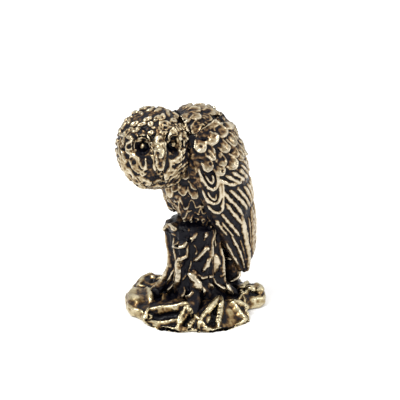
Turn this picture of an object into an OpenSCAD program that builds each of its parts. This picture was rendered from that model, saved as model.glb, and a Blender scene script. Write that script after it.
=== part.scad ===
// Owl figurine in aged brass: a hunched owl perched on a flared tree stump,
// which stands on a ground plate ringed with thick curled leaves.
// Frame: +Z up, origin at the centre of the flat underside, the owl's breast towards -Y.
// The owl turns its head to its own left, towards +X.

/* [Base] */
// Radius of the ground plate in the notches between leaves
base_r = 11.4; // [11:0.1:12]
// Thickness of the ground plate under the leaves
base_h = 1.6; // [1.2:0.1:2]
// How far the leaves reach past the notches, as a share of their usual reach
leaf_reach = 1; // [0.85:0.01:1.05]
// Height of a leaf's crest above the ground plate
leaf_crest = 2.4; // [1.8:0.1:2.7]

/* [Stump] */
// Radius of the stump at its waist
stump_r = 5.3; // [5:0.1:5.6]
// Height of the stump's flat top above the table
stump_top = 18; // [17.6:0.1:18.4]
// Depth of the grooves between the stump's ribs
bark_depth = 0.35; // [0:0.05:0.6]

/* [Owl] */
// Height of the crown of the back above the table
back_top = 41.6; // [41.2:0.1:42.4]
// Half width of the breast
breast_rx = 7.3; // [7:0.1:7.6]
// Radius of the head across the face
head_r = 7.3; // [7:0.1:7.5]
// Half height of the head
head_half_h = 8; // [7.8:0.1:8.2]
// Turn of the face from straight ahead to the owl's left, in degrees
head_turn = 75; // [40:1:80]
// Thickness of the folded wing where it leaves the body
wing_t = 1.6; // [1.4:0.1:2]
// Number of long flight feathers in each wing
primary_count = 5; // [4:1:6]

/* [Hidden] */
brass = [0.72, 0.58, 0.33];
dark_brass = [0.45, 0.36, 0.21];
sides = 24;                       // points round a lofted section
leaf_dir = [5, -50, -104, -150, 163, 120, 74];      // from +X
leaf_half = [34, 29, 27, 24, 22, 22, 22];           // half the angle each one fills
leaf_out = [2.2, 2.2, 2.3, 2.1, 1.6, 1.5, 2.9] * leaf_reach;   // past the notches
leaf_count = len(leaf_dir);
stump_y = 0.5;
head_c = [0, -8.4, 34.2];
eye_lon = 27;                     // each eye from the middle of the face
eye_lat = 18;                     // each eye above the middle of the head
eye_r = 0.95;
socket_r = 1.8;                   // hollow round each eye
disc_lon = 34;                    // middle of a facial disc from the middle of the face
disc_lat = -6;
disc_half_lon = 31.5;
disc_half_lat = 50;
disc_proud = 0.5;                 // how far a facial disc stands out of the head
wing_split = [0, 0.3, 0.55];      // shoulder, coverts, then flight feathers, as shares of the wing
mantle_z = 36.5;                  // seam between the body and the mantle
seam = 0.06;                      // gap between neighbouring flight feathers, as a share of one
limb_names = ["left", "right"];
leaf_names = [for (i = [1:leaf_count]) str("leaf_", i)];
root_names = [for (i = [1:5]) str("root_", i)];
wing_names = [for (s = limb_names) each [
    str(s, "_shoulder"), str(s, "_coverts"),
    for (i = [1:primary_count]) str(s, "_primary_", i)]];
leg_names = [for (s = limb_names) each [str(s, "_thigh"), str(s, "_foot")]];
tail_names = ["tail_left", "tail_middle", "tail_right"];
face_names = ["left_face_disc", "right_face_disc", "left_eye", "right_eye", "beak"];

// ---- points and curves ----

function unit(v) = v / norm(v);
// Smooth curve through a list of numbers or points, t from 0 to 1
function spline(p, t) =
    let (n = len(p) - 1, s = min(max(t, 0), 0.999999) * n, i = floor(s), f = s - i,
         a = p[max(i - 1, 0)], b = p[i], c = p[i + 1], d = p[min(i + 2, n)])
    0.5 * (2 * b + (c - a) * f + (2 * a - 5 * b + 4 * c - d) * f * f
        + (3 * b - a - 3 * c + d) * f * f * f);

// Level oval section
function oval(c, rx, ry, n = sides) =
    [for (i = [0:n - 1]) c + [rx * cos(i * 360 / n), ry * sin(i * 360 / n), 0]];

// Oval sections square to a path, w to each side along side and t to each side across it
function sweep_rings(path, w, t, side, n = 12) =
    [for (i = [0:len(path) - 1])
        let (tangent = unit(path[min(i + 1, len(path) - 1)] - path[max(i - 1, 0)]),
             s = unit(side - (side * tangent) * tangent),
             u = cross(tangent, s))
        [for (k = [0:n - 1])
            path[i] + s * w[i] * cos(k * 360 / n) + u * t[i] * sin(k * 360 / n)]];

// Closed solid through rings that each have the same number of points
module loft(rings) {
    n = len(rings[0]);
    m = len(rings);
    centre0 = [for (p = rings[0]) 1] * rings[0] / n;
    centre1 = [for (p = rings[m - 1]) 1] * rings[m - 1] / n;
    points = concat([for (r = rings) each r], [centre0, centre1]);
    faces = concat(
        [for (i = [0:m - 2], k = [0:n - 1])
            let (a = i * n + k, b = i * n + (k + 1) % n)
            each [[a, a + n, b + n], [a, b + n, b]]],
        [for (k = [0:n - 1]) [n * m, k, (k + 1) % n]],
        [for (k = [0:n - 1]) [n * m + 1, (m - 1) * n + (k + 1) % n, (m - 1) * n + k]]);
    volumes = [for (f = faces) points[f[0]] * cross(points[f[1]], points[f[2]])];
    inside_out = volumes * [for (v = volumes) 1] > 0;
    polyhedron(points, inside_out ? [for (f = faces) [f[2], f[1], f[0]]] : faces);
}

// First child less the others, closed as one mesh. Zeros leave its size as it is.
module carved() {
    resize([0, 0, 0]) difference() {
        children(0);
        children([1:$children - 1]);
    }
}

// ---- base ----

// Angle between two directions, from 0 to 180
function apart(a, b) = abs((a - b + 540) % 360 - 180);
function plate_r(angle) = base_r + max([for (i = [0:leaf_count - 1])
    (leaf_out[i] - 0.15) * pow(cos(min(90, 90 * apart(angle, leaf_dir[i]) / leaf_half[i])), 0.8)]);

module ground_plate() {
    color(dark_brass) linear_extrude(base_h)
        polygon([for (a = [-180:4:176]) plate_r(a) * [cos(a), sin(a)]]);
}

module leaf_form(i) {
    tip = base_r + leaf_out[i];
    r = [4.2, 6.2, 8.4, tip - 3.2, tip - 1.6, tip - 0.5, tip];
    half_w = [1.6, 2.5, 3.5, 4.4, 4.6, 3.9, 2.4] * leaf_half[i] / 26;
    h = [1.05, 1.08, 1.02, 0.95, 0.85, 0.62, 0.25] * leaf_crest;
    rotate(leaf_dir[i]) translate([0, 0, base_h]) loft([for (k = [0:len(r) - 1])
        [for (a = [0:18:180])
            [r[k], half_w[k] * cos(a), h[k] * pow(abs(sin(a)), 0.8)]]]);
}

module leaf(i) {
    color(brass) carved() {
        leaf_form(i);
        stump_form();
        for (k = [0:4]) root_form(k);
        if (i > 0) leaf_form(i - 1);
        if (i == leaf_count - 1) leaf_form(0);
    }
}

// ---- stump ----

module stump_form() {
    z = [base_h, 3.4, 6, 9, 12, 15, stump_top];
    r = [1.24, 1.12, 1.03, 0.98, 0.98, 1.03, 1.07] * stump_r;
    lean = [0.2, 0.1, 0, 0, -0.1, -0.2, -0.3];
    count = 48;
    loft([for (k = [0:len(z) - 1])
        [for (i = [0:count - 1])
            let (a = i * 360 / count,
                 rib = bark_depth * (cos(7 * a + 30) + 0.6 * cos(11 * a - 4 * z[k])))
            [(r[k] + rib) * cos(a), stump_y + lean[k] + (r[k] + rib) * sin(a), z[k]]]]);
}

module root_form(k) {
    angle = k < 4 ? -115 + 90 * k : 97;
    path = k < 4 ? [[4.1, 11.5], [4.6, 8.2], [5.3, 5.4], [6.7, 3.6], [8.4, 2.6], [10, base_h + 0.5]]
                 : [[4.4, 13.5], [5.4, 11], [6.7, 8.4], [8.1, 6.1], [9.5, 4.2], [10.6, base_h + 0.6]];
    w = k < 4 ? [0.6, 1.1, 1.5, 1.8, 1.5, 0.8] : [0.6, 0.9, 1.1, 1.2, 1.2, 0.8];
    t = [0.6, 0.9, 1.2, 1.4, 1.2, 0.6];
    rotate(angle) intersection() {
        loft(sweep_rings([for (p = path) [p[0], 0, p[1]]], w, t, [0, 1, 0]));
        translate([0, -5, base_h]) cube([20, 10, 20]);
    }
}

module stump() {
    color(dark_brass) stump_form();
}

module root(k) {
    color(brass) carved() {
        root_form(k);
        stump_form();
        if (k == 4) root_form(2);
    }
}

// ---- body ----

// Centre y, half width and half depth of the torso at a share t of its height
torso_z = [stump_top, 20.3, 24.2, 28.6, 33, mantle_z, 39.2, back_top - 0.7, back_top];
torso_y = [2.4, 2.4, 1.8, 1.4, 0.9, 0.4, 0.2, 0.1, 0];
torso_rx = [0.6, 0.8, 0.93, 0.96, 0.91, 0.84, 0.74, 0.5, 0.1] * breast_rx;
torso_ry = [4.6, 6.1, 8.2, 8.5, 7.6, 6.6, 5.3, 3.7, 0.9];

module torso_form(first, last) {
    steps = (last - first) * 3;
    loft([for (k = [0:steps])
        let (t = (first + k / 3) / (len(torso_z) - 1))
        oval([0, spline(torso_y, t), spline(torso_z, t)], spline(torso_rx, t), spline(torso_ry, t))]);
}

module head_form() {
    layers = 14;
    translate(head_c) loft([for (k = [0:layers])
        let (lat = -88 + 176 * k / layers)
        oval([0, 0, head_half_h * sin(lat)], head_r * cos(lat), head_r * cos(lat))]);
}

module body() {
    color(brass) carved() {
        torso_form(0, 5);
        head_form();
    }
}

module mantle() {
    color(brass) carved() {
        torso_form(5, 8);
        head_form();
    }
}

// ---- head ----

// Point on the head at a longitude to the viewer's right of the face and a latitude, raised by h
function face_point(lon, lat, h) =
    let (a = head_turn + lon)
    head_c + [(head_r + h) * cos(lat) * sin(a), -(head_r + h) * cos(lat) * cos(a),
        (head_half_h + h) * sin(lat)];

// side is -1 for the disc on the viewer's left, 1 for the viewer's right
module disc_form(side) {
    rings = 6;
    shares = [for (k = [0:rings]) k / rings];
    depth = 1;
    dish = 0.55;
    outer = [for (s = shares) [for (i = [0:sides - 1])
        let (a = i * 360 / sides, h = disc_proud * (1 - dish * (1 - s * s)))
        face_point(side * disc_lon + disc_half_lon * max(s, 0.02) * cos(a),
            disc_lat + disc_half_lat * max(s, 0.02) * sin(a), h)]];
    rim = outer[rings];
    inner = [for (p = rim) p + unit(head_c - p) * depth];
    loft(concat(outer, [inner]));
}

module beak_form() {
    lat = [50, 36, 22, 8, -4, -14];
    lift = [-0.1, 0.35, 0.9, 1.5, 1.7, 0.9];
    w = [0.5, 0.8, 0.9, 1, 0.8, 0.25];
    t = [0.6, 0.9, 1.1, 1.3, 1.1, 0.4];
    path = [for (i = [0:len(lat) - 1]) face_point(0, lat[i], lift[i] - t[i] * 0.5)];
    across = face_point(90, 0, 0) - head_c;
    loft(sweep_rings(path, w, t, across));
}

module socket_form(side) {
    translate(face_point(side * eye_lon, eye_lat, 0.7)) sphere(socket_r, $fn = 32);
}

module eye_form(side) {
    translate(face_point(side * eye_lon, eye_lat, -0.6)) sphere(eye_r, $fn = 32);
}

module head() {
    color(brass) carved() {
        head_form();
        disc_form(-1);
        disc_form(1);
        beak_form();
        for (side = [-1, 1]) {
            socket_form(side);
            eye_form(side);
        }
    }
}

module face_disc(side) {
    color(brass) carved() {
        disc_form(side);
        beak_form();
        socket_form(side);
        eye_form(side);
    }
}

module beak() {
    color(brass) beak_form();
}

module eye(side) {
    color(dark_brass) eye_form(side);
}

// ---- legs ----

module thigh(side) {
    path = [[3.2, -3.4, 25.4], [3.2, -3.3, 23], [2.8, -2.8, 20.6], [2.4, -2.2, stump_top + 0.9]];
    color(brass) scale([side, 1, 1]) carved() {
        loft(sweep_rings(path, [1.4, 2.1, 1.8, 1.1], [1.6, 2, 1.6, 1], [1, 0, 0]));
        torso_form(0, 5);
        scale([side, 1, 1]) foot_form(side);
    }
}

module foot_form(side) {
    w = [0.7, 0.75, 0.7, 0.55, 0.2];
    for (toe = [-1:1]) {
        spread = side * 12 + toe * 22;
        reach = [for (p = [[0, 0.6], [1, 0.85], [1.9, 0.75], [2.6, 0.5], [3, 0.2]])
            [side * 2.3 + p[0] * sin(spread), -1.5 - p[0] * cos(spread), stump_top + p[1]]];
        loft(sweep_rings(reach, w, w, [1, 0, 0], 10));
    }
    translate([side * 2.3, -1.5, stump_top + 0.5]) sphere(1, $fn = 20);
}

module foot(side) {
    color(dark_brass) carved() {
        foot_form(side);
        stump_form();
        torso_form(0, 5);
        root_form(0);
        root_form(1);
    }
}

// ---- wings and tail ----

// Front and rear edges of the folded left wing, from the shoulder down to the tip
wing_front = [[4.8, -4, 37.4], [7.2, -3.5, 33], [7.8, -2, 27.5], [7.3, 0.3, 21.8],
    [6.1, 3.2, 16.2], [4.9, 6, 11], [3.7, 8.6, 6.2]];
wing_rear = [[1.2, 4.9, 40.2], [0.4, 8.4, 36.8], [0.3, 10.8, 30.5], [0.4, 12.4, 23.5],
    [0.6, 13.1, 17], [1.1, 12.8, 11.5], [2.2, 11.4, 7]];
wing_bulge = [2.6, 3.9, 4.3, 3.5, 2.5, 1.5, 0.5];
wing_depth = [2, 2, 1.9, 1.4, 0.9, 0.75, 0.6];   // seated in the body at the top, free at the tip

// Point on the wing: a along it, b from the front edge to the rear edge, h out of its face
function wing_point(a, b, h) =
    let (f = spline(wing_front, a), r = spline(wing_rear, a), along = unit(r - f),
         down = unit(spline(wing_front, min(a + 0.05, 1)) + spline(wing_rear, min(a + 0.05, 1))
             - spline(wing_front, max(a - 0.05, 0)) - spline(wing_rear, max(a - 0.05, 0))),
         out = unit(cross(down, along)))
    f + (r - f) * b + out * (spline(wing_bulge, a) * sin(180 * b) + h);

// Strip of the wing from a0 to a1 and b0 to b1, drawn in to a rounded tip by taper
module wing_strip(a0, a1, b0, b1, taper, steps, across) {
    middle = (b0 + b1) / 2;
    loft([for (k = [0:steps])
        let (s = k / steps, a = a0 + (a1 - a0) * s,
             narrow = 1 - taper * pow(s, 6),
             bs = [for (j = [0:across]) middle + (b0 + (b1 - b0) * j / across - middle) * narrow],
             thick = wing_t * spline(wing_depth, a))
        concat([for (b = bs) wing_point(a, b, 0)],
            [for (j = [across:-1:0]) wing_point(a, bs[j], -thick)])]);
}

module owl_core() {
    torso_form(0, 5);
    torso_form(5, 8);
    head_form();
    tail_form();
}

// Left-hand pieces are drawn on +X and mirrored for the right
module wing_piece(side, part) {
    color(brass) carved() {
        scale([side, 1, 1])
            if (part < 2)
                wing_strip(wing_split[part], wing_split[part + 1], 0, 1, 0, 6, 12);
            else
                primary_form(part - 2);
        owl_core();
        // the other wing's half of the back
        translate([side > 0 ? -19.97 : -0.03, -20, 0]) cube([20, 40, 60]);
    }
}

module primary_form(i) {
    w = 1 / primary_count;
    tip = spline([0.97, 1, 1, 0.98, 0.94], i / (primary_count - 1));
    wing_strip(wing_split[2], tip, (i + seam) * w, (i + 1 - seam) * w, 0.75, 12, 3);
}

module tail_form() {
    path = [[0, 8.4, 24], [0, 9.6, 19], [0, 10.5, 14], [0, 10.8, 10], [0, 10.5, 6.6]];
    loft(sweep_rings(path, [2.6, 3, 3.2, 3, 1.8], [1.3, 1.3, 1.1, 0.9, 0.5], [1, 0, 0], 20));
}

// k is 0, 1 or 2, from the owl's right to its left
module tail_feather(k) {
    edges = [-5, -1, 1, 5];
    color(brass) resize([0, 0, 0]) intersection() {
        difference() {
            tail_form();
            torso_form(0, 5);
        }
        translate([edges[k] + 0.03, 0, 0]) cube([edges[k + 1] - edges[k] - 0.06, 30, 40]);
    }
}

// ---- assembly ----

module leg_part(s, i) {
    if (i == 0) thigh(s);
    else foot(s);
}

ground_plate();
for (i = [0:leaf_count - 1])
    leaf(i);
stump();
for (i = [0:4])
    root(i);
body();
mantle();
head();
face_disc(1);  // left_face_disc
face_disc(-1);  // right_face_disc
eye(1);  // left_eye
eye(-1);  // right_eye
beak();
for (i = [0:3])
    leg_part(i < 2 ? 1 : -1, i % 2);
for (i = [0:len(wing_names) - 1])
    wing_piece(i < len(wing_names) / 2 ? 1 : -1, i % (primary_count + 2));
for (i = [0:2])
    tail_feather(2 - i);
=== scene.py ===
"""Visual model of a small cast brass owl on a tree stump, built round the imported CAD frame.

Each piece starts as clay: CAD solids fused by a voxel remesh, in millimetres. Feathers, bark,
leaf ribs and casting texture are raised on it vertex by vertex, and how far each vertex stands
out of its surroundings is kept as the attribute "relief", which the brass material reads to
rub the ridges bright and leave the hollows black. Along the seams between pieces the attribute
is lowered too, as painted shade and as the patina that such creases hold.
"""
import math

import bpy
import numpy as np
from mathutils import Matrix, Vector
from mathutils.bvhtree import BVHTree
from mathutils.kdtree import KDTree


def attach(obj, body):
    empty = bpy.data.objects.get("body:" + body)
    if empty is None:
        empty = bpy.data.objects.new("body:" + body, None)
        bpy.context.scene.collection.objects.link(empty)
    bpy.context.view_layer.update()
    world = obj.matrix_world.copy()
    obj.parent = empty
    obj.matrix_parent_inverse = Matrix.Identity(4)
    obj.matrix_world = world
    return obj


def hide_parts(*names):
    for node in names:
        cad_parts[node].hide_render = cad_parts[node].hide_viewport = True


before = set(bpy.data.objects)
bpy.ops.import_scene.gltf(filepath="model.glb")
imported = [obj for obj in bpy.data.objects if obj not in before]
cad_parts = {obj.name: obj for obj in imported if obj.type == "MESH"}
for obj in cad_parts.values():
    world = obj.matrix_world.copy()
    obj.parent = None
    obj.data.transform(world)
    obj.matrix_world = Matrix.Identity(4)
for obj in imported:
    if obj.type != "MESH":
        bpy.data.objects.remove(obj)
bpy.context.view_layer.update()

MM = 0.001
VOXEL = 0.13       # edge of a remeshed face, mm
ROUGH_VOXEL = 0.25                         # the same before a piece is reshaped or swollen
STEP = 0.11                                # spacing of samples along a raised line, mm
CREVICE = 0.8                              # reach of the painted shade and patina along a seam between pieces, mm
EYE_SCALE = 0.55                           # size of an eye beside that of its CAD solid
FOOT_SHIFT = np.array([0.2, 0.7, -0.6])    # brings the toes down onto the stump, mm
rng = np.random.default_rng(7)


# ---------- noise and curves ----------

NOISE_TABLE = np.random.default_rng(3).permutation(256)
NOISE_SLOPES = np.random.default_rng(4).normal(size=(256, 3))
NOISE_SLOPES /= np.linalg.norm(NOISE_SLOPES, axis=1)[:, None]


def noise(points, size, seed=0):
    """Smooth noise of about -1 to 1, with bumps about size mm apart."""
    q = np.asarray(points) / size + seed * 17.3
    cell = np.floor(q).astype(int)
    f = q - cell
    fade = f * f * f * (f * (f * 6 - 15) + 10)
    total = np.zeros(len(q))
    for corner in np.ndindex(2, 2, 2):
        c = cell + corner
        key = NOISE_TABLE[(c[:, 0] + NOISE_TABLE[(c[:, 1] + NOISE_TABLE[c[:, 2] & 255]) & 255]) & 255]
        weight = np.prod(np.where(np.array(corner) == 1, fade, 1 - fade), axis=1)
        total += weight * np.einsum("ij,ij->i", NOISE_SLOPES[key], f - corner)
    return total * 1.6


def spline(points, t):
    """Smooth curve through points (an array, one row each) at t from 0 to 1."""
    p = np.asarray(points, float)
    last = len(p) - 1
    s = min(max(t, 0.0), 0.999999) * last
    i = int(s)
    f = s - i
    a, b, c, d = p[max(i - 1, 0)], p[i], p[i + 1], p[min(i + 2, last)]
    return 0.5 * (2 * b + (c - a) * f + (2 * a - 5 * b + 4 * c - d) * f * f
                  + (3 * b - a - 3 * c + d) * f ** 3)


def unit(v):
    return v / np.linalg.norm(v)


def swelling(points):
    """Broad lumps of the shoulders and back, the same on each piece that they cross."""
    return 0.4 * noise(points, 3.2, 50) * np.clip((points[:, 2] - 27) / 3, 0, 1)


# ---------- clay ----------

class Clay:
    """A piece being sculpted, in mm: raised amounts gather in height, and settle() applies them."""

    def __init__(self, name, nodes, voxel=VOXEL, sink=0.0, extra=(), reshape=None, swell=0.0):
        """Fuses the nodes and any extra (points, faces) solids. sink, in mm or worked out from
        the coordinates, draws the surface in, so that what is raised on it doesn't make it bigger."""
        self.name = name
        self.nodes = nodes
        solids = [([v.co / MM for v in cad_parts[node].data.vertices],
                   [tuple(p.vertices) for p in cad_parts[node].data.polygons]) for node in nodes]
        co, faces = [], []
        for solid_co, solid_faces in solids + list(extra):
            first = len(co)
            co += [tuple(c) for c in solid_co]
            faces += [[first + i for i in face] for face in solid_faces]
        self.mesh = bpy.data.meshes.new(name)
        self.mesh.from_pydata(co, [], faces)
        if reshape or swell:
            self.fuse(ROUGH_VOXEL)
            self.read_mesh()
            self.co = self.soften(self.co, 2)
            self.refresh()
            self.co = reshape(self.co) if reshape else self.co + swell * self.no
            self.mesh.vertices.foreach_set("co", self.co.ravel())
        self.fuse(voxel)
        self.read_mesh()
        self.co = self.soften(self.co, 3)
        self.refresh()
        draw = sink(self.co) if callable(sink) else np.full(len(self.co), sink)
        self.co = self.co - draw[:, None] * self.no
        self.refresh()
        self.bias = np.zeros(len(self.co))
        self.level = np.zeros(len(self.co))
        self.warp = 0.16 * np.stack([noise(self.co, 1.0, 20 + k) for k in range(3)], axis=1)
        self.warp += 0.07 * np.stack([noise(self.co, 0.4, 30 + k) for k in range(3)], axis=1)

    def fuse(self, voxel):
        """Remeshes the piece as one closed skin."""
        holder = bpy.data.objects.new(self.name + "_rough", self.mesh)
        bpy.context.scene.collection.objects.link(holder)
        remesh = holder.modifiers.new("fuse", "REMESH")
        remesh.mode = "VOXEL"
        remesh.voxel_size = voxel
        graph = bpy.context.evaluated_depsgraph_get()
        rough = self.mesh
        self.mesh = bpy.data.meshes.new_from_object(holder.evaluated_get(graph))
        bpy.data.objects.remove(holder)
        bpy.data.meshes.remove(rough)

    def read_mesh(self):
        """Takes coordinates and neighbours from the mesh."""
        count = len(self.mesh.vertices)
        self.co = np.zeros(count * 3)
        self.mesh.vertices.foreach_get("co", self.co)
        self.co = self.co.reshape(-1, 3)
        pairs = np.zeros(len(self.mesh.edges) * 2, int)
        self.mesh.edges.foreach_get("vertices", pairs)
        pairs = pairs.reshape(-1, 2)
        self.ends = np.concatenate([pairs[:, 0], pairs[:, 1]])
        self.others = np.concatenate([pairs[:, 1], pairs[:, 0]])
        self.degree = np.bincount(self.ends, minlength=count)

    def soften(self, field, rounds, share=1.0):
        """field, one row or number a vertex, averaged with its neighbours a number of rounds."""
        field = np.array(field, float)
        columns = field.reshape(len(field), -1)
        for _ in range(rounds):
            for k in range(columns.shape[1]):
                mean = np.bincount(self.ends, columns[self.others, k], len(columns)) / self.degree
                columns[:, k] += share * (mean - columns[:, k])
        return columns.reshape(field.shape)

    def refresh(self):
        """Puts the coordinates in the mesh, and makes the normals and search trees again."""
        count = len(self.co)
        self.mesh.vertices.foreach_set("co", self.co.ravel())
        self.mesh.update()
        self.no = np.zeros(count * 3)
        self.mesh.vertex_normals.foreach_get("vector", self.no)
        self.no = self.no.reshape(-1, 3)
        self.tree = KDTree(count)
        for i, p in enumerate(self.co):
            self.tree.insert(p, i)
        self.tree.balance()
        self.bvh = BVHTree.FromPolygons(
            [Vector(p) for p in self.co], [tuple(p.vertices) for p in self.mesh.polygons])
        self.height = np.zeros(count)
        self.unrubbed = np.zeros(count)

    def snap(self, point):
        """Nearest place on the surface, and its normal."""
        place, normal, _, _ = self.bvh.find_nearest(Vector(point))
        return np.array(place), np.array(normal)

    def shoot(self, start, direction):
        """Where a ray first meets the surface, or the nearest place to its start if it misses."""
        place, normal, _, _ = self.bvh.ray_cast(Vector(start), Vector(direction))
        if place is None:
            return self.snap(start)
        return np.array(place), np.array(normal)

    def near(self, place, normal, radius):
        """Vertices within radius of a place, on the side that faces as it does."""
        found = [hit[1] for hit in self.tree.find_range(Vector(place), radius)]
        found = np.array(found, int)
        return found[self.no[found] @ normal > 0.15] if len(found) else found

    def offsets(self, place, found):
        """Vectors from a place to vertices, bent a little so that no shape is too regular."""
        bend = self.warp[self.tree.find(Vector(place))[1]]
        return self.co[found] + self.warp[found] - place - bend

    def walk(self, points, radius, reach=1.0, blunt=0.5):
        """Samples along a line through points. For each, the vertices near it, how far away each
        is as a share of the line's half width there, and the taper, which is 1 except at the ends."""
        points = np.asarray(points, float)
        length = np.linalg.norm(np.diff(points, axis=0), axis=1).sum()
        count = max(3, int(length / STEP))
        for k in range(count + 1):
            t = k / count
            place, normal = self.snap(spline(points, t))
            taper = min(1.0, blunt + 2.6 * min(t, 1 - t))
            found = self.near(place, normal, reach * radius * taper + 0.25)
            if len(found):
                d = np.linalg.norm(self.offsets(place, found), axis=1) / (radius * taper)
                yield found, d, taper

    def bar(self, points, radius, height, blunt=0.5, power=3):
        """A flat-topped raised line through points, or a groove if height is below 0."""
        own = np.zeros(len(self.co))
        for found, d, taper in self.walk(points, radius, blunt=blunt):
            value = abs(height) * taper * np.clip(1 - d ** power, 0, 1) ** 0.8
            own[found] = np.maximum(own[found], value)
        if height < 0:
            self.height -= own
        else:
            self.height = np.maximum(self.height, own + np.minimum(self.height, 0) * 0.5 * (own > 0))

    def fold(self, points, radius, height):
        """A raised line with broad sloping sides, of which only the narrow crest gets rubbed."""
        whole, sides = np.zeros(len(self.co)), np.zeros(len(self.co))
        for found, d, taper in self.walk(points, radius, reach=1.9):
            side = 0.75 * height * taper * np.clip(1 - (d / 1.9) ** 1.4, 0, 1)
            crest = 0.4 * height * taper * np.clip(1 - (d / 0.85) ** 3, 0, 1) ** 0.8
            whole[found] = np.maximum(whole[found], side + crest)
            sides[found] = np.maximum(sides[found], side)
        raised = whole + np.minimum(self.height, 0) * 0.5
        self.height = np.where(whole > 0, np.maximum(self.height, raised), self.height)
        self.unrubbed = np.maximum(self.unrubbed, sides)

    def patch(self, centre, tip, radius):
        """Vertices near centre, and how far each is across and along the way that tip points."""
        place, facing = self.snap(centre)
        along = unit(np.asarray(tip) - (np.asarray(tip) @ facing) * facing)
        across = np.cross(facing, along)
        found = self.near(place, facing, radius)
        offset = self.offsets(place, found)
        return found, offset @ across, offset @ along

    def plate(self, centre, tip, length, width, height, rim=0.1, shaft=0.0):
        """A U-shaped feather, proud at its round tip."""
        found, across, along = self.patch(centre, tip, 0.8 * math.hypot(length, width))
        x = across / (width / 2)
        y = along / (length / 2)
        rho = np.sqrt(x * x + np.clip(y, 0, None) ** 2)
        inside = (rho < 1) & (y > -1)
        ramp = height * (0.05 + 0.475 * (y + 1)) * (1 - np.clip(rho, 0, 1) ** 8)
        edge = rim * np.exp(-((rho - 0.82) / 0.14) ** 2)
        spine = shaft * np.exp(-(x / 0.16) ** 2) * (y < 0.7)
        value = np.where(inside, ramp + edge + spine, 0)
        self.height[found] = np.maximum(self.height[found], value)

    def ring(self, centre, tip, length, width, height, hollow=0.5):
        """An oval scale with a raised rim round a small hollow."""
        found, across, along = self.patch(centre, tip, 0.6 * max(length, width) + 0.25)
        rho = np.hypot(across / (width / 2), along / (length / 2))
        value = height * np.clip(1 - rho ** 5, 0, 1) * (1 - hollow * np.exp(-(rho / 0.4) ** 2))
        self.height[found] = np.maximum(self.height[found], value)

    def scatter(self, spacing, where):
        """Vertices picked at random from where, no two nearer than spacing."""
        free = np.array(where, bool)
        picked = []
        for i in rng.permutation(np.flatnonzero(free)):
            if free[i]:
                picked.append(i)
                free[[hit[1] for hit in self.tree.find_range(Vector(self.co[i]), spacing)]] = False
        return picked

    def roughen(self, amount=1.0):
        """The bumps of the casting, from 1 mm down to a quarter."""
        self.height += amount * 0.13 * noise(self.co, 1.0, 60)
        self.height += amount * 0.09 * noise(self.co, 0.5, 61)
        self.height += amount * 0.05 * noise(self.co, 0.25, 62)

    def settle(self, rounds=1):
        """Moves the surface out by the gathered heights."""
        gathered = self.soften(self.height, rounds, 0.6)
        self.level += gathered - 0.85 * self.unrubbed
        self.co = self.co + self.no * gathered[:, None]
        self.refresh()

    def mark_relief(self):
        """How far each vertex stands out of its surroundings, from -1 to 1."""
        fine = np.einsum("ij,ij->i", self.co - self.soften(self.co, 4), self.no)
        broad = np.einsum("ij,ij->i", self.co - self.soften(self.co, 50), self.no)
        value = 0.3 * fine / 0.03 + 0.5 * broad / 0.15 + 0.75 * (self.level / 0.45 - 0.42)
        patchy = 0.3 * noise(self.co, 2.4, 50) + 0.2 * noise(self.co, 0.9, 51)
        self.relief = np.clip(self.soften(value, 1) + self.bias + patchy, -1.5, 1.5)

    def finish(self, material, slot):
        """Turns the clay into a piece of the scene, in metres, and hides the CAD solids that it replaces."""
        self.mesh.name = self.name
        self.mesh.vertices.foreach_set("co", (self.co * MM).ravel())
        self.mesh.polygons.foreach_set("use_smooth", np.ones(len(self.mesh.polygons), bool))
        self.mesh.update()
        layer = self.mesh.attributes.new("relief", "FLOAT", "POINT")
        layer.data.foreach_set("value", self.relief.astype(np.float32))
        self.mesh.materials.clear()
        self.mesh.materials.append(MATERIALS[material])
        piece = bpy.data.objects.new(self.name, self.mesh)
        bpy.context.scene.collection.objects.link(piece)
        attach(piece, "root")
        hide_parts(*self.nodes)
        return piece


# ---------- brass ----------

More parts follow.
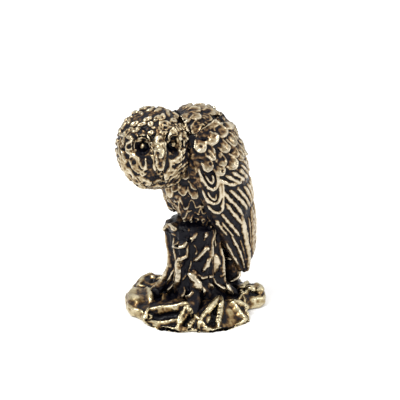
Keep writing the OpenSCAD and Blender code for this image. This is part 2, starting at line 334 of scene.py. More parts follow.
def brass_material(name, lift, tint):
    """Cast brass, black in the hollows and rubbed to pale gold where the relief is high."""
    material = bpy.data.materials.new(name)
    material.use_nodes = True
    nodes, links = material.node_tree.nodes, material.node_tree.links
    shader = nodes["Principled BSDF"]
    relief = nodes.new("ShaderNodeAttribute")
    relief.attribute_name = "relief"
    coords = nodes.new("ShaderNodeTexCoord")

    def grain(scale, detail):
        texture = nodes.new("ShaderNodeTexNoise")
        texture.inputs["Scale"].default_value = scale
        texture.inputs["Detail"].default_value = detail
        links.new(coords.outputs["Object"], texture.inputs["Vector"])
        return texture.outputs["Fac"]

    def math_node(operation, first, second, third=0.0):
        node = nodes.new("ShaderNodeMath")
        node.operation = operation
        for socket, value in zip(node.inputs, (first, second, third)):
            if isinstance(value, (int, float)):
                socket.default_value = value
            else:
                links.new(value, socket)
        return node.outputs[0]

    def ramp(value, stops):
        node = nodes.new("ShaderNodeValToRGB")
        elements = node.color_ramp.elements
        while len(elements) < len(stops):
            elements.new(0.5)
        for element, (position, colour) in zip(elements, stops):
            element.position = position
            element.color = (*colour, 1) if isinstance(colour, tuple) else (colour,) * 3 + (1,)
        links.new(value, node.inputs["Fac"])
        return node.outputs["Color"]

    rubbed = math_node("MULTIPLY_ADD", relief.outputs["Fac"], 0.34, 0.46 + lift)
    rubbed = math_node("MULTIPLY_ADD", math_node("SUBTRACT", grain(700, 4), 0.5), 0.6, rubbed)
    rubbed = math_node("MULTIPLY_ADD", math_node("SUBTRACT", grain(2400, 3), 0.5), 0.3, rubbed)
    shades = [(0.0, (0.002, 0.002, 0.005)), (0.30, (0.004, 0.0035, 0.007)), (0.42, (0.042, 0.025, 0.014)),
              (0.53, (0.155, 0.092, 0.045)), (0.65, (0.27, 0.20, 0.11)), (0.8, (0.39, 0.325, 0.21)),
              (1.0, (0.54, 0.48, 0.36))]
    colour = ramp(rubbed, [(at, tuple(c * t for c, t in zip(shade, tint))) for at, shade in shades])
    links.new(colour, shader.inputs["Base Color"])
    links.new(ramp(rubbed, [(0.0, 0.3), (0.45, 0.4), (0.62, 0.32), (1.0, 0.25)]), shader.inputs["Roughness"])
    links.new(ramp(rubbed, [(0.0, 0.0), (0.32, 0.1), (0.5, 0.8), (0.62, 1.0)]), shader.inputs["Metallic"])
    shader.inputs["Specular IOR Level"].default_value = 0.14
    bump = nodes.new("ShaderNodeBump")
    bump.inputs["Strength"].default_value = 0.5
    bump.inputs["Distance"].default_value = 0.00006
    links.new(grain(3200, 5), bump.inputs["Height"])
    links.new(bump.outputs["Normal"], shader.inputs["Normal"])
    return material


MATERIALS = {
    "aged_brass": brass_material("aged_brass", 0.0, (1, 0.98, 0.98)),
    "pale_brass": brass_material("pale_brass", 0.02, (1, 0.98, 0.95)),
    "yellow_brass": brass_material("yellow_brass", 0.03, (1, 0.97, 0.84)),
    "dark_brass": brass_material("dark_brass", -0.08, (1, 0.98, 0.95)),
}


# ---------- head ----------

HEAD = np.array([0, -8.4, 34.2])           # middle of the head
HEAD_R = np.array([7.3, 7.3, 8.0])
FACE_TURN = 75                             # direction of the face, degrees round from -Y


def on_head(clay, lon, lat):
    """Place and normal on the head: lon to the viewer's right of the face, lat up, in degrees."""
    a, b = math.radians(FACE_TURN + lon), math.radians(lat)
    out = np.array([math.cos(b) * math.sin(a), -math.cos(b) * math.cos(a), math.sin(b)])
    return clay.shoot(HEAD + HEAD_R * out * 1.5, -out * HEAD_R)


# Raised lines of the face: (half width, height, points as lon and lat)
FACE_LINES = [
    (0.42, 0.55, [(6, 44), (4, 36), (6, 28), (7, 20), (9, 12), (6, 4), (3, -6), (1, -16)]),
    (0.30, 0.45, [(-9, 6), (-7, -4), (-5, -11), (-3, -17)]),
    (0.20, 0.40, [(-4, 8), (-3, 0), (-3, -8)]),
    (0.20, 0.40, [(-32, 24), (-24, 27), (-17, 25), (-12, 19), (-7, 13), (-4, 7)]),
    (0.16, 0.32, [(-26, 22), (-19, 21), (-14, 17), (-10, 11), (-9, 5)]),
    (0.24, 0.40, [(-10, 24), (-4, 26), (0, 31)]),
    (0.30, 0.45, [(-36, 28), (-31, 31), (-22, 32)]),
    (0.26, 0.45, [(-19, 34), (-14, 31), (-9, 28)]),
    (0.26, 0.40, [(-6, 20), (0, 18), (2, 14)]),
    (0.60, 0.34, [(13, 27), (20, 32), (30, 34), (40, 31)]),
    (0.45, 0.34, [(38, 32), (46, 28), (54, 24), (60, 21)]),
    (0.18, 0.30, [(25, 24), (35, 24), (46, 24)]),
    (0.26, 0.45, [(41, 17), (50, 18), (58, 20)]),
    (0.24, 0.45, [(34, 12), (39, 12), (45, 14)]),
    (0.24, 0.45, [(35, 7), (40, 7), (46, 9)]),
    (0.24, 0.45, [(32, 3), (38, 3), (44, 6)]),
    (0.24, 0.45, [(22, -3), (28, -1), (34, 1)]),
    (0.26, 0.45, [(23, -7), (31, -7), (38, -5), (44, -1)]),
    (0.22, 0.40, [(16, 0), (19, -6), (25, -11)]),
    (0.28, 0.45, [(21, -40), (21, -32), (27, -28), (34, -25), (41, -22)]),
    (0.22, 0.42, [(4, -32), (6, -25), (11, -30), (14, -35), (8, -37), (4, -32)]),
    (0.20, 0.40, [(12, -34), (14, -24), (17, -14)]),
    (0.26, 0.40, [(38, -17), (46, -14), (54, -11)]),
    (0.26, 0.40, [(48, -25), (56, -21), (63, -17)]),
    (0.22, 0.40, [(26, -15), (33, -13), (38, -10)]),
    (0.24, 0.40, [(30, -33), (37, -32), (45, -30)]),
    (0.22, 0.42, [(7, 47), (12, 52), (19, 55), (27, 53), (33, 47), (34, 41)]),
    (0.22, 0.42, [(12, 44), (16, 48), (22, 46), (22, 41), (17, 40), (12, 43)]),
    (0.22, 0.40, [(2, 40), (4, 45), (9, 46), (11, 41), (7, 39)]),
    (0.26, 0.45, [(38, 47), (39, 41), (38, 36)]),
    (0.24, 0.45, [(46, 46), (47, 40), (47, 34)]),
    (0.24, 0.45, [(56, 44), (57, 37), (57, 30)]),
    (0.24, 0.45, [(66, 40), (66, 32), (65, 24)]),
    (0.34, 0.45, [(-74, 24), (-66, 27), (-56, 27), (-46, 26), (-40, 25)]),
    (0.45, 0.45, [(-76, 20), (-74, 8), (-68, -4), (-62, -15), (-54, -27), (-44, -40), (-32, -50)]),
    (0.42, 0.45, [(-34, -50), (-22, -55), (-8, -57), (6, -55), (16, -50), (22, -43)]),
    (0.26, 0.42, [(-64, 4), (-58, -4), (-54, -14), (-49, -24)]),
    (0.24, 0.42, [(-48, 20), (-42, 21), (-41, 14), (-47, 10), (-43, 4), (-46, -1)]),
    (0.26, 0.42, [(-40, -2), (-36, 4), (-31, 2), (-29, -5), (-24, -12), (-20, -8), (-19, 0)]),
    (0.26, 0.42, [(-38, -20), (-32, -15), (-26, -17), (-22, -22)]),
    (0.26, 0.42, [(-40, -28), (-36, -34), (-31, -40)]),
    (0.24, 0.42, [(-30, -38), (-26, -33), (-20, -36)]),
    (0.26, 0.42, [(-14, -41), (-9, -38), (-5, -42), (1, -41)]),
    (0.22, 0.40, [(-31, -24), (-26, -28), (-22, -30)]),
    (0.26, 0.42, [(-38, -10), (-32, -7), (-27, -3)]),
    (0.24, 0.42, [(-30, -20), (-25, -23), (-19, -19)]),
    (0.24, 0.40, [(-15, 23), (-9, 20), (-4, 16)]),
    (0.24, 0.40, [(-20, 38), (-13, 36), (-6, 38)]),
]
EYELIDS = FACE_LINES[3:5]                  # drawn again over the hollow of the eye
# Grooves of the face, in the same form, with depths
FACE_GROOVES = [
    (0.30, 0.30, [(-56, 18), (-55, 8), (-50, -2), (-46, -12), (-41, -23), (-33, -36), (-24, -44)]),
    (0.62, 0.75, [(-14, 4), (-14, -8), (-13, -20), (-12, -30)]),
    (0.30, 0.35, [(-62, 31), (-50, 31), (-40, 30)]),
    (0.30, 0.35, [(12, 10), (11, 0), (10, -10), (8, -20)]),
    (0.28, 0.30, [(68, 18), (64, 4), (56, -6), (46, -12), (34, -20)]),
]
# Hollows round the eyes: lon, lat, half their extent in each, and depth
EYE_HOLLOWS = [(-25, 14, 14, 12, 0.9), (21, 12, 12, 13, 0.7)]
# Oval ring scales low on the crown: lon, lat, length, width
CROWN_RINGS = [
    (-27, 41, 2.2, 1.2), (-44, 38, 1.9, 1.2), (-15, 51, 1.4, 1.2), (-37, 49, 2.1, 1.0),
    (-11, 38, 1.1, 1.0), (1, 61, 2.2, 1.0), (-7, 45, 1.0, 0.8), (22, 62, 2.2, 1.2),
    (-56, 38, 1.9, 1.2), (-54, 48, 2.0, 1.2), (-64, 32, 1.9, 1.3), (-26, 59, 2.0, 1.1),
]


def head_angles(points):
    """Each point's lon and lat on the head."""
    offset = (points - HEAD) / HEAD_R
    offset /= np.linalg.norm(offset, axis=1)[:, None]
    lat = np.degrees(np.arcsin(np.clip(offset[:, 2], -1, 1)))
    lon = np.degrees(np.arctan2(offset[:, 0], -offset[:, 1])) - FACE_TURN
    return (lon + 180) % 360 - 180, lat


def make_head():
    clay = Clay("owl_head", ["head", "left_face_disc", "right_face_disc", "beak"], sink=0.3)
    lon, lat = head_angles(clay.co)
    # winding ridges over the facial discs
    wander = np.abs(noise(clay.co, 1.9, 1) + 0.3 * noise(clay.co, 0.8, 2))
    discs = np.clip((74 - np.abs(lon)) / 6, 0, 1) * np.clip((36 - lat) / 6, 0, 1)
    clay.height = 0.42 * np.clip(1.8 - wander / 0.2, 0, 1) * discs
    for radius, depth, points in FACE_GROOVES:
        clay.bar([on_head(clay, *p)[0] for p in points], radius, -depth)
    # oval scales low on the crown, then more at random over the rest of the head
    own = []
    for ring_lon, ring_lat, length, width in CROWN_RINGS:
        place = on_head(clay, ring_lon, ring_lat)[0]
        own.append(place)
        clay.ring(place, on_head(clay, ring_lon + 6, ring_lat + 2)[0] - place, length, width, 0.5)
    on_face = (np.abs(lon) < 76) & (lat < 34)
    for i in clay.scatter(1.38, ~on_face):
        place = clay.co[i]
        if min(np.linalg.norm(p - place) for p in own) < 1.2:
            continue
        round_head = np.cross((0, 0, 1), clay.no[i]) + 0.35 * rng.normal(size=3)
        length, width = rng.uniform(1.5, 2.5), rng.uniform(0.85, 1.2)
        height, hollow = rng.uniform(0.38, 0.6), rng.uniform(0.1, 0.6)
        clay.ring(place, round_head, length, width, height, hollow)
    for radius, height, points in FACE_LINES:
        clay.bar([on_head(clay, *p)[0] for p in points], radius * 1.15, height)
    # soft dark hollows round the eyes
    for eye_lon, eye_lat, half_lon, half_lat, deep in EYE_HOLLOWS:
        rho = np.hypot((lon - eye_lon) / half_lon, (lat - eye_lat) / half_lat)
        rho += 0.12 * noise(clay.co, 0.8, 40)
        inside = rho < 1
        bowl = 0.1 - deep * np.clip(1 - rho ** 2, 0, 1) ** 0.6
        clay.height[inside] = bowl[inside]
    for radius, height, points in EYELIDS:
        clay.bar([on_head(clay, *p)[0] for p in points], radius, height - 0.1)
    clay.roughen()
    clay.settle()
    return clay


def make_eye(node):
    """A small worn bump at the bottom of its socket."""
    def shrink(co):
        middle = (co.min(0) + co.max(0)) / 2
        return middle + EYE_SCALE * (co - middle)

    clay = Clay("owl_" + node, [node], voxel=0.08, reshape=shrink)
    clay.height = 0.12 * noise(clay.co, 0.5, 3)
    clay.settle()
    clay.bias += 0.55
    return clay


# ---------- wings ----------

# Edges of the folded left wing from shoulder to tip, and its outward bulge, as in the CAD solid
WING_FRONT = np.array([[4.8, -4, 37.4], [7.2, -3.5, 33], [7.8, -2, 27.5], [7.3, 0.3, 21.8],
                       [6.1, 3.2, 16.2], [4.9, 6, 11], [3.7, 8.6, 6.2]])
WING_REAR = np.array([[1.2, 4.9, 40.2], [0.4, 8.4, 36.8], [0.3, 10.8, 30.5], [0.4, 12.4, 23.5],
                      [0.6, 13.1, 17], [1.1, 12.8, 11.5], [2.2, 11.4, 7]])
WING_BULGE = np.array([2.6, 3.9, 4.3, 3.5, 2.5, 1.5, 0.5])


def wing_place(a, b, side):
    """Point over the wing: a from shoulder to tip, b from front edge to rear edge."""
    front, rear = spline(WING_FRONT, a), spline(WING_REAR, a)
    below, above = min(a + 0.05, 1), max(a - 0.05, 0)
    down = spline(WING_FRONT, below) + spline(WING_REAR, below)
    down = down - spline(WING_FRONT, above) - spline(WING_REAR, above)
    out = unit(np.cross(unit(down), unit(rear - front)))
    point = front + (rear - front) * b + out * spline(WING_BULGE, a) * math.sin(math.pi * b)
    return point * np.array([side, 1, 1])


# Rows of scalloped feathers on the shoulder: place down the wing, places across it, length, height
SHOULDER_ROWS = [
    (0.02, (0.1, 0.3, 0.5, 0.7, 0.9), 2.4, 0.5),
    (0.07, (0.22, 0.42, 0.62, 0.82), 2.6, 0.65),
    (0.115, (0.12, 0.32, 0.52, 0.72, 0.92), 2.5, 0.85),
    (0.18, (0.22, 0.4, 0.58, 0.78, 0.95), 2.5, 0.5),
    (0.23, (0.13, 0.31, 0.5, 0.68, 0.88), 2.6, 0.6),
    (0.272, (0.22, 0.4, 0.58, 0.78, 0.95), 2.3, 0.75),
]
# Raised bars of the coverts and flight feathers: half width, height, points as a and b
WING_BARS = [
    # first tier
    (0.40, 0.55, [(0.315, 0.18), (0.345, 0.24), (0.370, 0.31), (0.378, 0.38)]),
    (0.38, 0.50, [(0.31, 0.27), (0.345, 0.34), (0.378, 0.42), (0.385, 0.46)]),
    (0.38, 0.50, [(0.31, 0.36), (0.345, 0.44), (0.385, 0.53)]),
    (0.38, 0.50, [(0.31, 0.46), (0.345, 0.54), (0.390, 0.64)]),
    (0.38, 0.50, [(0.31, 0.56), (0.345, 0.65), (0.395, 0.75)]),
    (0.38, 0.50, [(0.31, 0.67), (0.350, 0.77), (0.40, 0.86)]),
    (0.38, 0.50, [(0.31, 0.80), (0.355, 0.88), (0.40, 0.95)]),
    # second tier
    (0.42, 0.55, [(0.375, 0.19), (0.44, 0.24), (0.50, 0.32), (0.57, 0.40)]),
    (0.40, 0.55, [(0.400, 0.28), (0.45, 0.36), (0.50, 0.44), (0.545, 0.50)]),
    (0.40, 0.50, [(0.410, 0.39), (0.46, 0.47), (0.50, 0.53), (0.540, 0.59)]),
    (0.40, 0.50, [(0.415, 0.50), (0.46, 0.58), (0.54, 0.68)]),
    (0.40, 0.50, [(0.420, 0.61), (0.47, 0.70), (0.55, 0.79)]),
    (0.40, 0.50, [(0.425, 0.73), (0.48, 0.81), (0.555, 0.88)]),
    (0.40, 0.50, [(0.425, 0.87), (0.48, 0.92), (0.56, 0.96)]),
    # long inner coverts
    (0.40, 0.50, [(0.46, 0.19), (0.52, 0.24), (0.58, 0.31), (0.63, 0.37)]),
    (0.38, 0.50, [(0.52, 0.11), (0.58, 0.16), (0.64, 0.22), (0.69, 0.27)]),
    (0.30, 0.40, [(0.57, 0.08), (0.63, 0.12), (0.68, 0.17)]),
    # flight feathers
    (0.62, 0.60, [(0.57, 0.37), (0.64, 0.38), (0.74, 0.39), (0.84, 0.42), (0.97, 0.50)]),
    (0.34, 0.45, [(0.67, 0.14), (0.72, 0.16), (0.80, 0.20), (0.93, 0.26)]),
    (0.26, 0.35, [(0.72, 0.02), (0.80, 0.03), (0.90, 0.08)]),
    (0.24, 0.30, [(0.72, 0.27), (0.80, 0.29), (0.90, 0.34)]),
    (0.24, 0.35, [(0.60, 0.525), (0.66, 0.52), (0.76, 0.52), (0.90, 0.58)]),
    (0.34, 0.45, [(0.57, 0.96), (0.66, 0.96), (0.76, 0.95), (0.88, 0.92)]),
    (0.30, 0.45, [(0.575, 0.86), (0.66, 0.86), (0.76, 0.85), (0.90, 0.83)]),
]
# Looped feathers at the front edge: half width, height, points as a and b
WING_LOOPS = [
    (0.34, 0.60, [(0.225, 0.03), (0.28, 0.04), (0.33, 0.06), (0.36, 0.10), (0.345, 0.155),
                  (0.30, 0.185), (0.262, 0.18)]),
    (0.24, 0.45, [(0.26, 0.075), (0.30, 0.085), (0.325, 0.11), (0.30, 0.14), (0.27, 0.135)]),
    (0.34, 0.60, [(0.35, 0.00), (0.40, 0.01), (0.435, 0.05), (0.44, 0.11), (0.41, 0.155),
                  (0.36, 0.175), (0.32, 0.205)]),
    (0.22, 0.40, [(0.37, 0.045), (0.405, 0.06), (0.42, 0.095), (0.39, 0.125)]),
    (0.34, 0.60, [(0.45, 0.00), (0.485, 0.03), (0.50, 0.08), (0.49, 0.13), (0.44, 0.17),
                  (0.38, 0.20), (0.33, 0.225)]),
    (0.30, 0.45, [(0.55, 0.02), (0.60, 0.04), (0.66, 0.08)]),
]


# The steps between the tiers: place down the wing, depth
WING_STEPS = [(0.15, 0.6), (0.305, 0.5), (0.405, 0.3), (0.565, 0.35)]
# Pits in the flat feather beside the tail, as a and b
WING_PITS = [(0.62, 0.64), (0.65, 0.68), (0.68, 0.65), (0.71, 0.69), (0.74, 0.65), (0.77, 0.67)]


def wing_sink(co):
    """How far to draw a wing in: least at its thin tip and where the two wings meet."""
    by_height = 0.2 + 0.3 * np.clip((co[:, 2] - 12) / 8, 0, 1)
    return by_height * np.clip(np.abs(co[:, 0]) / 1.5, 0.3, 1)


def make_wing(word, side):
    """A folded wing: word is left or right, and side is 1 or -1 along X."""
    nodes = [word + "_shoulder", word + "_coverts"] + [f"{word}_primary_{k}" for k in range(1, 6)]
    clay = Clay(word + "_wing", nodes, swell=0.2, sink=wing_sink)
    clay.height = swelling(clay.co)
    clay.settle()
    clay.level *= 0.3

    def at(a, b):
        return wing_place(a, b, side)

    # dark steps between the tiers
    for a, depth in WING_STEPS:
        edge = [at(a + 0.012 * math.sin(9 * b), b) for b in (0.2, 0.35, 0.5, 0.65, 0.8, 1.0)]
        clay.bar(edge, 0.42, -depth)
    for row, (a, across, length, height) in enumerate(SHOULDER_ROWS):
        for b in across:
            b += 0.03 * rng.uniform(-1, 1)
            turn = 0.1 * rng.uniform(-1, 1)
            tip = at(a + 0.06, b + turn + 0.02) - at(a, b)
            clay.plate(at(a, b), tip, length * rng.uniform(0.85, 1.15), rng.uniform(1.9, 2.8),
                       height * rng.uniform(0.75, 1.1), rim=0.22, shaft=0.1 * (row % 2))
    for radius, height, points in WING_BARS + WING_LOOPS:
        clay.bar([at(*p) for p in points], radius * 1.12, height)
    # pitted flat feather beside the tail
    flat = [at(a, 0.67) for a in (0.57, 0.66, 0.76, 0.88)]
    clay.bar(flat, 1.3, 0.5, power=6)
    for a, b in WING_PITS:
        clay.bar([at(a, b), at(a + 0.01, b + 0.015)], 0.18, -0.35, blunt=0.8)
    # torn gaps in the shoulder
    torn = np.clip(noise(clay.co, 1.3, 41) - 0.25, 0, 1) * np.clip((clay.co[:, 2] - 28) / 2, 0, 1)
    clay.height -= 0.9 * torn
    clay.roughen(0.7)
    clay.settle()
    clay.bias += 0.28 * np.clip((clay.co[:, 2] - 24) / 4, 0, 1) - 0.12
    return clay


# ---------- body, legs and tail ----------

def make_torso():
    clay = Clay("torso", ["body", "mantle", "left_thigh", "right_thigh"],
                sink=lambda co: 0.4 + 0.2 * np.clip((co[:, 2] - 36) / 2, 0, 1))
    clay.height = swelling(clay.co)
    clay.settle()
    clay.level *= 0.3
    # irregular scales, bigger and more ragged than the head's
    for i in clay.scatter(1.75, clay.co[:, 2] > 25.5):
        place, out = clay.co[i], clay.no[i]
        tip = np.array([0.3 * out[0], 0.9 * (out[1] > -0.3), -1.0]) + 0.3 * rng.normal(size=3)
        width, height = rng.uniform(1.7, 2.4), rng.uniform(0.35, 0.75)
        clay.plate(place, tip, rng.uniform(2.0, 2.9), width, height, rim=0.2)
    clay.height -= 0.7 * np.clip(noise(clay.co, 1.2, 42) - 0.25, 0, 1) * (clay.co[:, 2] > 30)
    # coarse streaks down the belly and legs
    streaks = np.abs(noise(clay.co * np.array([1, 1, 0.45]), 1.1, 4))
    belly = np.clip((26.5 - clay.co[:, 2]) / 2, 0, 1)
    clay.height = np.maximum(clay.height, 0.3 * np.clip(1.3 - streaks / 0.16, 0, 1) * belly)
    clay.roughen()
    clay.settle()
    clay.bias -= 0.1 * (clay.co[:, 2] < 26)
    return clay


def make_foot(node):
    """Worn toes, ribbed across."""
    clay = Clay("owl_" + node, [node], voxel=0.1, sink=0.12, reshape=lambda co: co + FOOT_SHIFT)
    clay.height = 0.05 * np.sin(clay.co[:, 1] * 8) + 0.06 * noise(clay.co, 0.6, 9)
    clay.settle()
    return clay


def make_tail():
    clay = Clay("tail", ["tail_left", "tail_middle", "tail_right"], sink=0.15)

    def on_tail(x, z):
        return clay.shoot((x, 20, z), (0, -1, 0))[0]

    # each feather has a shaft, and a finer line either side of it
    for x in (-2.1, 0, 2.1):
        clay.bar([on_tail(x * s, z) for s, z in ((0.9, 20), (1, 16), (1, 12), (0.8, 8))], 0.36, 0.4)
        for dx in (-0.75, 0.75):
            clay.bar([on_tail(x + dx, z) for z in (18, 14, 10)], 0.22, 0.3)
    clay.roughen()
    clay.settle()
    return clay


# ---------- stump ----------

STUMP_Y = 0.5                              # the trunk's axis, mm towards the tail


def stump_out(angle):
    """The level direction at an angle in degrees from +X."""
    return np.array([math.cos(math.radians(angle)), math.sin(math.radians(angle)), 0])


def on_stump(clay, angle, z):
    """Place on the stump, angle in degrees from +X."""
    out = stump_out(angle)
    return clay.shoot(np.array([0, STUMP_Y, z]) + 13 * out, -out)[0]


# Ribs and torn bark of the stump: half width, height, points as angle and z in mm
STUMP_LINES = [
    (0.50, 0.80, [(-110, 17), (-107, 14), (-104, 10), (-106, 7), (-110, 5), (-112, 3.2)]),
    (0.36, 0.80, [(-80, 15.6), (-80, 13.3), (-76, 10.8), (-77, 8.6), (-84, 6), (-94, 4.2), (-98, 3.2)]),
    (0.55, 0.80, [(-42, 15.4), (-48, 12.8), (-58, 11.8), (-66, 10.2), (-62, 8.2), (-65, 6.5),
                  (-74, 5), (-82, 3.8)]),
    (0.60, 1.00, [(-84, 13.5), (-66, 14.3), (-52, 14.9), (-42, 15.9), (-26, 17)]),
    (0.50, 0.80, [(-108, 16.4), (-94, 17.6), (-78, 18), (-66, 17.6)]),
    (0.60, 0.85, [(-29, 11.5), (-18, 12.4), (-9, 13.4), (-1, 14.4)]),
    (0.30, 0.65, [(-54, 7.4), (-44, 9), (-37, 10.2), (-38, 11.3)]),
    (0.65, 0.90, [(-40, 9.2), (-31, 8.2), (-23, 7), (-20, 5.6)]),
    (0.45, 0.80, [(-24, 8.6), (-10, 7.9), (2, 8.1), (10, 7.4)]),
    (0.34, 0.65, [(-10, 9.2), (-3, 10.3), (0, 11.5), (5, 12.4)]),
    (0.30, 0.90, [(11, 18.2), (10, 16.4), (8, 15), (5, 12.8), (7, 11)]),
    (0.28, 0.65, [(-8, 15.6), (-4, 17.4)]),
    (0.38, 0.65, [(16, 12.6), (13, 10.6), (15, 8.4), (20, 7)]),
    (0.45, 0.80, [(38, 13), (44, 10.4), (46, 8), (49, 6), (52, 4), (56, 3)]),
    (0.40, 0.70, [(20, 7.2), (27, 6), (38, 4.8), (46, 3.6)]),
    (0.36, 0.60, [(-92, 12), (-90, 9.5), (-94, 7), (-102, 5)]),
    (0.34, 0.60, [(60, 17), (58, 14), (62, 11), (59, 8)]),
    (0.34, 0.60, [(26, 17.4), (24, 15.4), (28, 13.6)]),
    (0.28, 0.60, [(-30, 15), (-24, 14), (-26, 12.8)]),
    (0.40, 0.70, [(-14, 6.6), (-8, 5.4), (-9, 4.2)]),
    (0.36, 0.70, [(2, 6.6), (8, 5.6), (16, 5.2)]),
    (0.34, 0.70, [(-30, 5.8), (-34, 4.6), (-40, 3.6)]),
    (0.30, 0.60, [(-52, 6.2), (-50, 4.8), (-56, 3.6)]),
]
# Deep hollows between them, in the same form, with depths
STUMP_HOLLOWS = [
    (0.8, 0.8, [(-94, 15.5), (-90, 12), (-90, 8.5)]),
    (1.0, 0.9, [(-72, 12.6), (-60, 13.2), (-50, 13.6)]),
    (0.9, 0.8, [(-56, 9.8), (-52, 7), (-60, 5)]),
    (1.1, 0.9, [(-36, 13.4), (-20, 14.8), (-8, 16)]),
    (0.9, 0.8, [(-30, 10.4), (-16, 10.6)]),
    (0.8, 0.7, [(-8, 6.4), (6, 9.6), (10, 9)]),
    (0.8, 0.8, [(17, 15.6), (18, 13.4)]),
    (0.9, 0.8, [(-30, 4.4), (-16, 4), (0, 4.4)]),
    (0.9, 0.8, [(34, 16), (48, 14), (56, 11)]),
]


def loft(rings):
    """A closed solid through rings of points."""
    count = len(rings[0])
    faces = []
    for k in range(len(rings) - 1):
        for i in range(count):
            j = (i + 1) % count
            faces.append((k * count + i, k * count + j, (k + 1) * count + j, (k + 1) * count + i))
    faces.append(tuple(reversed(range(count))))
    faces.append(tuple(range((len(rings) - 1) * count, len(rings) * count)))
    return [p for ring in rings for p in ring], faces


def mound(x, y, levels):
    """A round heap at (x, y) with a radius at each level."""
    turns = np.linspace(0, math.tau, 32, endpoint=False)
    return loft([[(x + r * math.cos(t), y + r * math.sin(t), z) for t in turns] for z, r in levels])


def make_stump():
    perch = mound(0, -0.3, ((16, 5.3), (17.8, 5.4), (18.8, 4.6), (19.6, 3)))
    knob = mound(-1.0, -4.1, ((15.5, 1.3), (16.8, 1.8), (18, 1.8), (18.8, 1.3), (19.1, 0.5)))
    buttress = mound(-0.5, 8.2, ((3, 2.4), (6, 1.9), (9, 1.7), (11, 1.2)))
    clay = Clay("tree_stump", ["stump"] + [f"root_{k}" for k in range(1, 6)], sink=0.4,
                extra=[perch, knob, buttress])
    # the trunk is torn into hollows and swellings before its bark goes on
    clay.height = 0.4 * noise(clay.co * np.array([1, 1, 0.4]), 2.4, 43)
    clay.settle()
    clay.level *= 0.5
    # smooth oval knob at the right of the front
    place = on_stump(clay, 27, 10)
    found = clay.near(place, stump_out(27), 3)
    offset = clay.offsets(place, found)
    rho = np.hypot(offset @ stump_out(117) / 1.15, offset[:, 2] / 2.6)
    clay.height[found] = np.maximum(clay.height[found], 0.9 * np.clip(1 - rho ** 4, 0, 1))
    for radius, depth, points in STUMP_HOLLOWS:
        clay.bar([on_stump(clay, *p) for p in points], radius, -depth, power=2)
    for radius, height, points in STUMP_LINES:
        clay.fold([on_stump(clay, *p) for p in points], radius, height)
    # bark down the sides and back
    for k, angle in enumerate(range(74, 244, 12)):
        top = 17.8 - 3.0 * rng.uniform(0, 1) * (k % 2)
        low = 3.0 + 2.5 * rng.uniform(0, 1) * ((k + 1) % 2)
        levels = np.linspace(top, low, 6)
        around = [angle + 5 * math.sin(1.7 * k + 0.8 * z) + 1.5 * rng.uniform(-1, 1) for z in levels]
        clay.bar([on_stump(clay, a, z) for a, z in zip(around, levels)], 0.36 + 0.12 * (k % 3), 0.7)
    clay.roughen(0.45)
    clay.settle()
    clay.bias -= 0.2
    return clay


# ---------- base ----------

def on_base(clay, angle, r):
    """Place on top of the base, angle in degrees from +X and r from its centre in mm."""
    x, y = r * math.cos(math.radians(angle)), r * math.sin(math.radians(angle))
    return clay.shoot((x, y, 12), (0, 0, -1))[0]


# Ribs and curled edges of the leaves: half width, height, points as angle and r in mm
LEAF_LINES = [
    # fan-shaped leaf in front
    (0.50, 0.90, [(26, 6.8), (8, 8), (-10, 9.6), (-19, 11.6), (-21, 13)]),
    (0.42, 0.90, [(24, 7), (14, 8.4), (7, 9.8), (0, 11.4), (-4, 13)]),
    (0.32, 0.60, [(-7, 10), (-12, 11), (-14, 12.2)]),
    (0.50, 0.80, [(28, 7.6), (34, 9.4), (38, 11.2), (34, 12.4), (24, 12.9), (10, 13)]),
    # hollow leaf to its left
    (0.50, 0.90, [(-75, 11.5), (-67, 10), (-50, 9), (-37, 8.2), (-26, 7.4)]),
    (0.42, 0.80, [(-70, 12.8), (-60, 12.6), (-50, 12.2), (-39, 11.2)]),
    (0.45, 0.90, [(-41, 12), (-37, 10.2), (-35, 9), (-31, 8)]),
    (0.36, 0.70, [(-30, 12.8), (-27, 11.6), (-23, 10.4)]),
    (0.42, 0.80, [(-76, 11.2), (-74, 12.2), (-70, 12.9)]),
    # rim along the bottom of both
    (0.45, 0.70, [(-68, 13), (-54, 13.1), (-40, 13.1), (-26, 13.2), (-12, 13.2), (2, 13.2), (14, 13)]),
    # smooth lobe at the left of the front
    (1.10, 0.50, [(-90, 12), (-104, 12.2), (-116, 12), (-126, 11.4)]),
    (0.60, 0.50, [(-84, 10), (-94, 9.2), (-108, 9), (-120, 9.6)]),
    (0.40, 0.50, [(-130, 10), (-132, 11.6), (-130, 12.8)]),
    # lobes behind on the left
    (0.80, 0.50, [(-138, 11.6), (-148, 12.2), (-160, 12)]),
    (0.40, 0.55, [(-150, 7.6), (-150, 9.4), (-152, 11.2)]),
    # leaf behind on the right
    (0.42, 0.80, [(45, 9.6), (54, 9.8), (64, 10.6), (76, 12)]),
    (0.50, 0.70, [(42, 10.8), (48, 12), (56, 12.8), (68, 13.2), (80, 13)]),
    (0.36, 0.60, [(70, 9), (80, 10.6), (88, 12)]),
]
# Hollows between the ribs, in the same form, with depths
LEAF_HOLLOWS = [
    (1.10, 0.90, [(-66, 11.6), (-58, 11), (-50, 10.6), (-43, 9.8)]),
    (0.90, 0.90, [(-33, 12), (-29, 11), (-24, 9.4)]),
    (0.60, 0.60, [(-16, 12.4), (-8, 11), (2, 9)]),
    (0.60, 0.60, [(-8, 12.4), (-2, 11), (8, 8.8)]),
    (0.80, 0.80, [(52, 11.6), (62, 12.1), (70, 12.6)]),
    (0.80, 0.70, [(62, 9.6), (74, 10.8), (82, 12)]),
    (1.00, 0.80, [(-86, 8.4), (-100, 7.6), (-116, 7.8)]),
    (0.90, 0.70, [(-140, 9.6), (-156, 9.4), (-166, 9)]),
]
